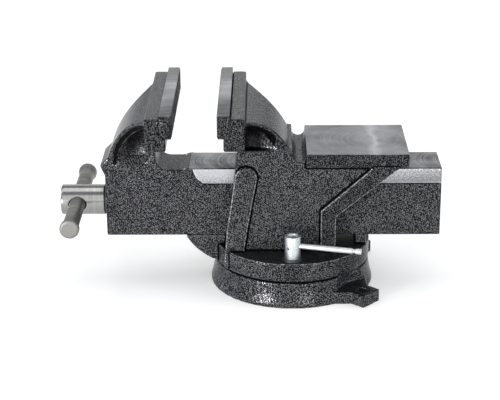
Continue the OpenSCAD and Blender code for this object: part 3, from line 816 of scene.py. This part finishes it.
def mark_painted_light(mesh, node_name, surface, corners, edge_highlight_zone):
    """Stores where a casting gets painted edge highlights and painted shade, for its material."""
    points = column(mesh.vertices, "co", 3)
    _, depths = nearest(surface, points)
    in_corner = in_zones(points, corners)
    under_lip = depths < -CUT_BACK
    highlight_share = np.where(edge_highlight_zone(points), 1, FAINT_EDGE_HIGHLIGHT) if edge_highlight_zone else FAINT_EDGE_HIGHLIGHT
    edge = np.clip(-depths / EDGE_DEPTH, 0, 1) * ~under_lip * highlight_share
    # Painted shade: a dark line in the creases that the softening fills, and in the hollows under the
    # hoods and their lips
    crevice = np.clip((depths - CREVICE_START) / CREVICE_RISE, 0, 1) * ~in_corner
    hollow = np.zeros(len(points))
    if node_name in HOODS:
        normals = column(mesh.vertex_normals, "vector", 3)
        hollow = np.where(in_corner, hollowness(surface, *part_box(node_name), points, normals), 0)
    hollow = np.where(under_lip, np.maximum(hollow, LIP_PAINTED_SHADE), hollow)
    for title, values in (("edge", edge), ("crevice", crevice), ("hollow", hollow)):
        data = mesh.attributes.new(title, "FLOAT", "POINT").data
        data.foreach_set("value", values.astype(np.float32))


def on_rim(points):
    return np.hypot(points[:, 0], points[:, 1]) > SEAM_RIM


def above_seam(points):
    """The lower lip of the body's disc."""
    return on_rim(points) & (points[:, 2] > SEAM) & (points[:, 2] < SEAM + SEAM_LIP)


def below_seam(points):
    """The upper lip of the base."""
    return on_rim(points) & (points[:, 2] > SEAM - SEAM_LIP)


def highlit_sides(points):
    """The body between its disc and its jaw, where edges get the full painted highlight."""
    return (points[:, 2] > SEAM + 8 * MM) & (points[:, 2] < 118 * MM)


def space(x=(-FAR, FAR), y=(-FAR, FAR), z=(-FAR, FAR)):
    """The low and the high corner of a box. A span that isn't given reaches past the part."""
    return tuple(zip(x, y, z))


def both_sides(inner, outer=FAR):
    """The spans between two distances from the middle, on its low and its high side."""
    return (-outer, -inner), (inner, outer)


# Bare faces as (low, high, bright): the slide's milled top, its ground bands and the anvil
SLIDE_FACES = [
    (*space((-91.8 * MM, FAR), (-28 * MM, 28 * MM), (SLIDE_TOP - 0.5 * MM, SLIDE_TOP + 7 * MM)), False),
    *((*space((-97 * MM, FAR), y, (SLIDE_BAND, SLIDE_TOP - 0.3 * MM)), True)
      for y in both_sides(18 * MM, 22.8 * MM)),
]
ANVIL_FACE = [(*space(x=(12.2 * MM, FAR), z=(ANVIL_Z - 0.4 * MM, ANVIL_Z + 10 * MM)), False)]

# Painted shade as (low, high, strength)
# Painted shade on the disc's top beside the body
ON_DISC = (*space(z=(DISC_TOP - 0.5 * MM, DISC_TOP + 0.4 * MM)), 0.5)
# Painted shade in the gap of the seam between base and body
IN_SEAM = (*space(z=(SEAM - 1.2 * MM, SEAM + 1.5 * MM)), 0.9)
# Painted shade on the end faces of the jaw heads
HEAD_ENDS = [(*space(y=y), 0.3) for y in both_sides(70 * MM)]
# Painted shade on the anvil's sides
ANVIL_ENDS = [(*space((0.0, FAR), y), 0.3) for y in both_sides(41.5 * MM, 58.5 * MM)]
LEFT_LUG, RIGHT_LUGS = both_sides(36 * MM)
NEAR_LUG, FAR_LUGS = both_sides(30 * MM)
# Painted shade on the lug tops, standing in for a dark reflection
LUG_TOPS = [(*space(x, y, (LUG_TOP - 0.5 * MM, LUG_TOP + 0.6 * MM)), 0.6)
            for x, y in ((RIGHT_LUGS, NEAR_LUG), (RIGHT_LUGS, FAR_LUGS), (LEFT_LUG, FAR_LUGS))]

CASTINGS = {
    "moving_jaw": {
        "body": "sliding_jaw",
        "corners": [space((-172 * MM, -124 * MM), (-70 * MM, 70 * MM), (112 * MM, 166 * MM))],
        "rolled": None, "edge_highlight_zone": None,
        "bare": SLIDE_FACES, "bow": 0.0, "painted_shade_zones": HEAD_ENDS,
        "marks": ("Feed marks", {"Cutter": 30 * MM, "Lines": 620.0}, 1.0),
    },
    "fixed_jaw_body": {
        "body": "swivel_body",
        "corners": [space((-43 * MM, 0.5 * MM), (-68 * MM, 68 * MM), (135.2 * MM, 166 * MM))],
        "rolled": above_seam, "edge_highlight_zone": highlit_sides,
        "bare": ANVIL_FACE, "bow": 0.45, "painted_shade_zones": [ON_DISC, IN_SEAM, *HEAD_ENDS, *ANVIL_ENDS],
        "marks": ("Mill marks", {"Centre": (72.5 * MM, 0.0, ANVIL_Z), "Lines": 800.0}, 0.4),
    },
    "swivel_base": {
        "body": "base",
        "corners": [space((18 * MM, LUG_TIPS), (-LUG_TIPS, LUG_TIPS), (0.6 * MM, 22.5 * MM))],
        "rolled": below_seam, "edge_highlight_zone": None,
        "bare": [], "bow": 0.0, "painted_shade_zones": [IN_SEAM, *LUG_TOPS],
        "marks": None,
    },
}


class VISE_OT_castings(bpy.types.Operator):
    """Re-forms the three castings with soft edges and paints them"""
    bl_idname = "vise.castings"
    bl_label = "Castings"

    def execute(self, context):
        settings = context.scene.vise.casting
        for node_name, look in CASTINGS.items():
            obj = cast_form(node_name, settings, look["corners"], look["rolled"], look["edge_highlight_zone"])
            finish = casting_material(node_name + "_finish", settings, look["bare"], settings.steel,
                                      look["marks"], look["bow"], look["painted_shade_zones"])
            paint_only(obj, finish)
            stand_for(obj, look["body"], "casting_paint", node_name)
        return {"FINISHED"}


# Jaw plates

def teeth_group():
    """Rows of small pyramids over a plate's gripping face, left out around the screw holes."""
    group, given = new_shape("Gripping teeth", {
        "Width": 150 * MM, "Height": 20 * MM, "Pitch": 2.4 * MM, "Depth": 0.7 * MM, "Hole span": 90 * MM,
        "Hole radius": 7 * MM})
    pitch = given["Pitch"]
    counts = [math_node(group, "FLOOR", over(group, given[size], pitch)) for size in ("Width", "Height")]
    spans = [times(group, minus(group, count, 1.0), pitch) for count in counts]
    grid = node(group, "GeometryNodeMeshGrid", {"Size X": spans[0], "Size Y": spans[1],
                                                "Vertices X": counts[0], "Vertices Y": counts[1]})
    at = split(group, node(group, "GeometryNodeInputPosition").outputs[0])
    beside = minus(group, math_node(group, "ABSOLUTE", at[0]), times(group, given["Hole span"], 0.5))
    away = math_node(group, "SQRT", plus(group, times(group, beside, beside), times(group, at[1], at[1])))
    clear = plus(group, given["Hole radius"], times(group, pitch, 0.75))
    near = node(group, "FunctionNodeCompare", {0: away, 1: clear}, operation="LESS_THAN").outputs[0]
    kept = node(group, "GeometryNodeDeleteGeometry", {"Geometry": grid.outputs[0], "Selection": near})
    radius = times(group, pitch, math.sqrt(0.5))
    tooth = node(group, "GeometryNodeMeshCone", {"Vertices": 4, "Radius Top": times(group, radius, 0.12),
                                                 "Radius Bottom": radius, "Depth": given["Depth"]})
    teeth = node(group, "GeometryNodeInstanceOnPoints", {
        "Points": kept.outputs[0], "Instance": tooth.outputs[0], "Rotation": (0.0, 0.0, math.radians(45))})
    return close_shape(group, teeth.outputs[0], given)


class VISE_OT_jaw_plates(bpy.types.Operator):
    """Chamfers the two jaw plates and cuts teeth into their gripping faces"""
    bl_idname = "vise.jaw_plates"
    bl_label = "Jaw plates"

    def execute(self, context):
        settings = context.scene.vise.plate
        depth, rim = settings.depth, 4 * settings.edge
        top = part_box("fixed_jaw_plate")[1].z
        wheel = (0.0, -0.9, 0.0)
        # The plates' paint gets the same even painted shade as the jaw heads' end faces
        ground = casting_material("ground_plate", context.scene.vise.casting,
                                  [(*space(z=(top - 0.3 * MM, FAR)), False)], settings.colour,
                                  ("Mill marks", {"Centre": wheel, "Lines": 140.0}, 0.35),
                                  painted_shade_zones=[(*space(), 0.3)])
        steel = steel_material("tooth_steel", TOOTH_STEEL, 0.4, 520.0, 0.45, wheel)
        group = teeth_group()
        screws_low, screws_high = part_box("fixed_jaw_screws")
        head = (screws_high.z - screws_low.z) / 2
        for side, body, facing in (("fixed", "swivel_body", -1), ("moving", "sliding_jaw", 1)):
            node_name = side + "_jaw_plate"
            low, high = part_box(node_name)
            face = low.x if facing < 0 else high.x
            plate = merged_copy(node_name, node_name + "_ground")
            for vertex in plate.data.vertices:
                if abs(vertex.co.x - face) < 0.01 * MM:
                    vertex.co.x -= facing * depth
            edit(plate.data, lambda shape: bmesh.ops.dissolve_limit(
                shape, angle_limit=math.radians(1), verts=shape.verts, edges=shape.edges))
            chamfer(plate, settings.edge)
            teeth = grown(node_name + "_teeth", group, {
                "Width": high.y - low.y - rim, "Height": high.z - low.z - rim,
                "Pitch": settings.pitch, "Depth": depth,
                "Hole span": screws_high.y - screws_low.y - 2 * head, "Hole radius": head,
                "Material": steel})
            upright = Matrix.Rotation(math.radians(90), 4, "Z")
            turn = Matrix.Rotation(math.radians(90 * facing), 4, "Y") @ upright
            place(teeth, (face - facing * depth, (low.y + high.y) / 2, (low.z + high.z) / 2), turn)
            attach(teeth, body)
            finished(plate, ground, 30, body, "jaw_steel", node_name)
        return {"FINISHED"}


# Lead screw and handle

def thread_group():
    """A right-hand trapezoidal thread about X, closed at both ends."""
    group, given = new_shape("Screw thread", {"Length": 200 * MM, "Radius": 10 * MM, "Depth": 2 * MM,
                                              "Lead": 5 * MM})
    length, lead = given["Length"], given["Lead"]
    steps = math_node(group, "CEIL", times(group, over(group, length, lead), 10.0))
    grid = node(group, "GeometryNodeMeshGrid", {
        "Size X": length, "Size Y": 2 * math.pi, "Vertices X": steps, "Vertices Y": 37})
    at = split(group, node(group, "GeometryNodeInputPosition").outputs[0])
    phase = minus(group, over(group, at[0], lead), over(group, at[1], 2 * math.pi))
    wave = times(group, math_node(group, "PINGPONG", phase, 0.5), 2.0)
    flank = math_node(group, "MULTIPLY_ADD", minus(group, wave, 0.5), 2.6, 0.5, clamp=True)
    ground = times(group, minus(group, 1.0, flank), given["Depth"])
    reach = minus(group, times(group, length, 0.5), math_node(group, "ABSOLUTE", at[0]))
    inner = math_node(group, "GREATER_THAN", reach, 1e-6)
    radius = times(group, minus(group, given["Radius"], ground), inner)
    moved = node(group, "ShaderNodeCombineXYZ", {
        "X": at[0], "Y": times(group, radius, math_node(group, "COSINE", at[1])),
        "Z": times(group, radius, math_node(group, "SINE", at[1]))})
    bent = node(group, "GeometryNodeSetPosition", {
        "Geometry": grid.outputs[0], "Position": moved.outputs[0]})
    closed = node(group, "GeometryNodeMergeByDistance", {"Geometry": bent.outputs[0], "Distance": 1e-6})
    return close_shape(group, closed.outputs[0], given)


def coil_group():
    """A round wire wound along Z."""
    group, given = new_shape("Wire coil", {"Turns": 4.0, "Radius": 10 * MM, "Height": 20 * MM,
                                           "Wire": 3 * MM})
    path = node(group, "GeometryNodeCurveSpiral", {
        "Resolution": 40, "Rotations": given["Turns"], "Height": given["Height"],
        "Start Radius": given["Radius"], "End Radius": given["Radius"]})
    ring = node(group, "GeometryNodeCurvePrimitiveCircle", {
        "Resolution": 14, "Radius": times(group, given["Wire"], 0.5)})
    tube = node(group, "GeometryNodeCurveToMesh", {
        "Curve": path.outputs[0], "Profile Curve": ring.outputs[0], "Fill Caps": True})
    return close_shape(group, tube.outputs[0], given)


class VISE_OT_lead_screw(bpy.types.Operator):
    """Turns the head of the lead screw, cuts its thread and winds its spring"""
    bl_idname = "vise.lead_screw"
    bl_label = "Lead screw"

    def execute(self, context):
        settings = context.scene.vise.screw
        bright = steel_material("bright_screw", settings.bright, 0.2, 900.0, 0.25, (-0.2, 0.0, SCREW_Z))
        shank_r = SCREW_R * 20 / 27.5
        thread_start = PIN_END + 3 * MM
        head_l = HEAD_BACK - SCREW_LOW.x
        shank_end = thread_start - SCREW_LOW.x
        profile = rounded([(0, 0), (0, SCREW_R), (head_l, SCREW_R), (head_l, shank_r)], 1.8 * MM)
        head = turned("lead_screw_head", [*profile, (shank_end, shank_r), (shank_end, 0)], 96)
        place(head, (SCREW_LOW.x, 0, SCREW_Z), ALONG_X)
        bore = flared_bore("bar_bore", BAR_R + 0.1 * MM, SCREW_R + 1 * MM, 2.4 * MM, 64)
        cut(head, place(bore, (BAR_X, 0, SCREW_Z), ALONG_Y))
        length = SCREW_HIGH.x - thread_start
        thread = grown("lead_screw_thread", thread_group(), {
            "Length": length, "Radius": shank_r, "Depth": settings.thread, "Lead": settings.lead,
            "Material": bright})
        place(thread, (thread_start + length / 2, 0, SCREW_Z))
        screw = joined("lead_screw_turned", head, thread)
        finished(screw, bright, 32, "spindle", "bright_steel", "lead_screw")
        black = steel_material("oiled_steel", OILED_STEEL, 0.42, 300.0, 0.3)
        wire = settings.wire
        spring = grown("spindle_spring_coil", coil_group(), {
            "Turns": float(settings.turns), "Radius": (SPRING_HIGH.z - SPRING_LOW.z - wire) / 2,
            "Height": SPRING_HIGH.x - SPRING_LOW.x - wire, "Wire": wire, "Material": black})
        place(spring, (SPRING_LOW.x + wire / 2, 0, (SPRING_LOW.z + SPRING_HIGH.z) / 2), ALONG_X)
        finished(spring, black, 50, "spindle", "dark_steel", "spindle_spring")
        return {"FINISHED"}


class VISE_OT_handle(bpy.types.Operator):
    """Finishes the handle bar and turns its two flared ends"""
    bl_idname = "vise.handle"
    bl_label = "Handle"

    def execute(self, context):
        settings = context.scene.vise.screw
        satin = steel_material("satin_handle", settings.satin, 0.5, 160.0, 0.4, (BAR_X, 0.0, SCREW_Z),
                               0.02 * MM)
        bar_l = BAR_HIGH.y - BAR_LOW.y
        outline = rounded([(0, 0), (0, BAR_R), (bar_l, BAR_R), (bar_l, 0)], 0.5 * MM)
        bar = turned("handle_bar_drawn", outline, 64)
        place(bar, (BAR_X, BAR_LOW.y, SCREW_Z), ALONG_Y)
        finished(bar, satin, 40, "handle", "handle_steel", "handle_bar")
        lip = BAR_R + 0.35 * MM
        for name, outward in (("near", -1), ("far", 1)):
            node_name = "handle_knob_" + name
            low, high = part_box(node_name)
            length = high.y - low.y
            knob_r = (high.x - low.x) / 2
            outline = rounded([(0, 0), (0, lip), (0.25 * length, lip + 0.3 * MM), (0.55 * length, knob_r),
                               (length - 0.9 * MM, knob_r), (length, knob_r - 1.5 * MM), (length, 0)],
                              1.2 * MM)
            knob = turned(node_name + "_upset", outline, 64)
            start, turn = (low.y, ALONG_Y) if outward > 0 else (high.y, BACK_ALONG_Y)
            place(knob, (BAR_X, start, SCREW_Z), turn)
            finished(knob, satin, 50, "handle", "handle_steel", node_name)
        return {"FINISHED"}


# Swivel locks

class VISE_OT_locks(bpy.types.Operator):
    """Turns the two lever nuts of the swivel and their levers"""
    bl_idname = "vise.locks"
    bl_label = "Swivel locks"

    def execute(self, context):
        settings = context.scene.vise.lock
        zinc = steel_material("zinc_plate", settings.zinc, 0.4, 700.0, 0.1, depth=0.002 * MM)
        dull = steel_material("dull_zinc", DULL_ZINC, 0.5, 500.0, 0.3)
        for side, outward in (("front", -1), ("rear", 1)):
            body = side + "_lock"
            nut_low, nut_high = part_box(body + "_nut")
            lever_low, lever_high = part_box(body + "_lever")
            axis = Vector(((nut_low.x + nut_high.x) / 2, (nut_low.y + nut_high.y) / 2, 0))
            nut_r = (nut_high.x - nut_low.x) / 2
            cap_r = (lever_high.z - lever_low.z) / 2
            lever_z = (lever_high.z + lever_low.z) / 2
            tip = Vector((lever_high.x, lever_low.y if outward < 0 else lever_high.y, 0)) - axis
            end_x, end_y = tip.x - 0.5 * MM, tip.y - outward * cap_r
            spot = (axis.x, axis.y, lever_z)
            aim = Matrix.Rotation(math.atan2(end_y, end_x), 4, "Z") @ ALONG_X
            nut = turned(body + "_nut_turned", self.nut_outline(nut_r, nut_high.z - nut_low.z), 64)
            place(nut, (axis.x, axis.y, nut_low.z))
            mouth = nut_r + 1 * MM
            hole = place(flared_bore("lever_hole", cap_r, mouth, 1.6 * MM, 40), spot, aim)
            pin_r, pin_floor = 1.4 * MM, nut_r - 3 * MM
            pin_line = [(pin_floor, 0), (pin_floor, pin_r), (mouth, pin_r), (mouth, 0)]
            pin_hole = turned("pin_hole", pin_line, 24)
            pin_aim = Matrix.Rotation(outward * math.radians(126), 4, "Z") @ ALONG_X
            place(pin_hole, (axis.x, axis.y, lever_z - 1 * MM), pin_aim)
            cut(nut, hole, pin_hole)
            finished(nut, zinc, 32, body, "zinc", body + "_nut")
            rod = self.rod_outline(nut_r - 5 * MM, math.hypot(end_x, end_y), cap_r)
            lever = place(turned(body + "_lever_turned", rod, 40), spot, aim)
            finished(lever, zinc, 40, body, "zinc", body + "_lever")
            paint_only(frame["nodes"][body + "_washer"], dull)
        return {"FINISHED"}

    @staticmethod
    def nut_outline(radius, height):
        """A round nut with a shallow dish in its top."""
        dish_r, dish_z = radius - 2.2 * MM, height - 1.6 * MM
        return rounded([(0, 0), (0, radius), (height, radius), (height, dish_r),
                        (dish_z, dish_r - 0.4 * MM), (dish_z, 0)], 0.7 * MM, 3)

    @staticmethod
    def rod_outline(tail, reach, cap_r):
        """A lever with a neck before the cap at its end."""
        rod_r = cap_r - 0.15 * MM
        neck_r = rod_r - 0.7 * MM
        cap_start = reach - 5 * MM
        neck_start = cap_start - 3 * MM
        return rounded([(-tail, 0), (-tail, rod_r), (neck_start, rod_r), (neck_start + 0.5 * MM, neck_r),
                        (cap_start - 0.4 * MM, neck_r), (cap_start, cap_r), (reach, cap_r), (reach, 0)],
                       0.7 * MM, 3)


class VISE_OT_fixings(bpy.types.Operator):
    """Finishes the small steel fixings and the lead nut, whose CAD shapes are kept"""
    bl_idname = "vise.fixings"
    bl_label = "Fixings"

    def execute(self, context):
        black = bpy.data.materials["oiled_steel"]
        iron = steel_material("nut_iron", NUT_IRON, 0.55, 120.0, 0.4, depth=0.05 * MM)
        for node_name in ("fixed_jaw_screws", "moving_jaw_screws", "thrust_washer", "spring_washer",
                          "retaining_pin", "lead_nut_bolts", "front_t_bolt", "rear_t_bolt"):
            paint_only(frame["nodes"][node_name], black)
        paint_only(frame["nodes"]["lead_nut"], iron)
        return {"FINISHED"}


# Stage

FLOOR_REACH = 6.0
LAMPS_AIM = (-0.03, 0.0, 0.1)
WHITE, COOL = (1.0, 1.0, 1.0), (0.55, 0.7, 1.0)
# Soft lamps: place, width, height, watts and tint
LAMPS = {
    "front": ((0.0, -2.0, 1.15), 2.2, 2.0, 14.0, WHITE),
    "left_top": ((-1.6, -0.1, 1.7), 1.2, 1.6, 15.0, WHITE),
    "right_top": ((1.6, -0.1, 1.7), 1.2, 1.6, 15.0, WHITE),
    "overhead": ((0.0, 0.3, 2.3), 1.6, 1.4, 11.0, WHITE),
    "back_wall": ((0.0, 2.4, 0.95), 3.0, 0.9, 7.0, WHITE),
    "left_low": ((-1.0, -1.3, 0.17), 0.42, 0.32, 24.0, WHITE),
    "right_low": ((0.6, -1.6, 0.1), 0.25, 0.2, 5.0, WHITE),
    "left": ((-1.7, 0.5, 0.08), 0.5, 0.14, 5.0, COOL),
    "right": ((1.8, 0.15, 0.08), 0.5, 0.14, 4.0, COOL),
}
SKY, SKY_STRENGTH = (0.95, 0.97, 1.0, 1), 0.42


def set_camera(scene, settings):
    lens = bpy.data.cameras.new("camera")
    lens.sensor_fit = "HORIZONTAL"
    lens.sensor_width = 36
    lens.lens = settings.lens
    lens.clip_end = 20
    camera = new_object("camera", lens)
    pitch, yaw, roll = settings.pitch, settings.yaw, settings.roll
    forward = Vector((math.sin(yaw) * math.cos(pitch), math.cos(yaw) * math.cos(pitch), -math.sin(pitch)))
    right = Vector((math.cos(yaw), -math.sin(yaw), 0))
    up = right.cross(forward)
    across = right * math.cos(roll) + up * math.sin(roll)
    upward = up * math.cos(roll) - right * math.sin(roll)
    turn = Matrix((across, upward, -forward)).transposed().to_4x4()
    camera.matrix_world = Matrix.Translation(settings.eye) @ turn
    scene.camera = camera


def set_floor(settings):
    plane = bpy.data.meshes.new("floor")
    corners = [(x * FLOOR_REACH, y * FLOOR_REACH, 0) for x, y in ((-1, -1), (1, -1), (1, 1), (-1, 1))]
    plane.from_pydata(corners, [], [(0, 1, 2, 3)])
    floor = new_object("floor", plane)
    material, _, shader, _ = new_material("floor_paper")
    for title, value in (("Base Color", (*settings.floor, 1)), ("Roughness", 0.9),
                         ("Emission Color", (1, 1, 1, 1)), ("Emission Strength", settings.glow)):
        shader.inputs[title].default_value = value
    paint_only(floor, material)


def add_lamp(name, eye, width, height, power, tint):
    light = bpy.data.lights.new(name, "AREA")
    light.color = tint
    light.shape = "RECTANGLE"
    light.size, light.size_y = width, height
    light.energy = power
    lamp = new_object(name, light)
    turn = (Vector(LAMPS_AIM) - Vector(eye)).to_track_quat("-Z", "Y").to_matrix().to_4x4()
    lamp.matrix_world = Matrix.Translation(eye) @ turn
    lamp.visible_camera = False


class VISE_OT_stage(bpy.types.Operator):
    """Sets up the camera, the pale floor and soft studio light"""
    bl_idname = "vise.stage"
    bl_label = "Stage"

    def execute(self, context):
        scene = context.scene
        settings = scene.vise.stage
        set_camera(scene, settings)
        set_floor(settings)
        for name, values in LAMPS.items():
            add_lamp(name, *values)
        world = bpy.data.worlds.new("studio")
        world.use_nodes = True
        sky = world.node_tree.nodes["Background"].inputs
        sky["Color"].default_value = SKY
        sky["Strength"].default_value = SKY_STRENGTH
        scene.world = world
        scene.view_settings.view_transform = "Standard"
        return {"FINISHED"}


class VISE_PT_panel(bpy.types.Panel):
    """Lists the vise's operators and settings"""
    bl_idname = "VISE_PT_panel"
    bl_label = "Bench vise"
    bl_space_type = "VIEW_3D"
    bl_region_type = "UI"
    bl_category = "Vise"

    def draw(self, context):
        for operator in OPERATORS:
            self.layout.operator(operator.bl_idname)
        settings = context.scene.vise
        for group in (settings.casting, settings.plate, settings.screw, settings.lock, settings.stage):
            box = self.layout.box()
            for name in group.__annotations__:
                box.prop(group, name)


SETTINGS = (CastingSettings, PlateSettings, ScrewSettings, LockSettings, StageSettings, ViseSettings)
OPERATORS = (VISE_OT_stage, VISE_OT_castings, VISE_OT_jaw_plates, VISE_OT_lead_screw, VISE_OT_handle,
             VISE_OT_locks, VISE_OT_fixings)


def register():
    for entry in (*SETTINGS, *OPERATORS, VISE_PT_panel):
        bpy.utils.register_class(entry)
    bpy.types.Scene.vise = PointerProperty(type=ViseSettings)


def unregister():
    del bpy.types.Scene.vise
    for entry in reversed((*SETTINGS, *OPERATORS, VISE_PT_panel)):
        bpy.utils.unregister_class(entry)


def main():
    register()
    for build_group in (hammer_group, mill_group, feed_group, zone_group):
        build_group()
    for step in ("stage", "castings", "jaw_plates", "lead_screw", "handle", "locks", "fixings"):
        getattr(bpy.ops.vise, step)()


if __name__ == "__main__":
    main()
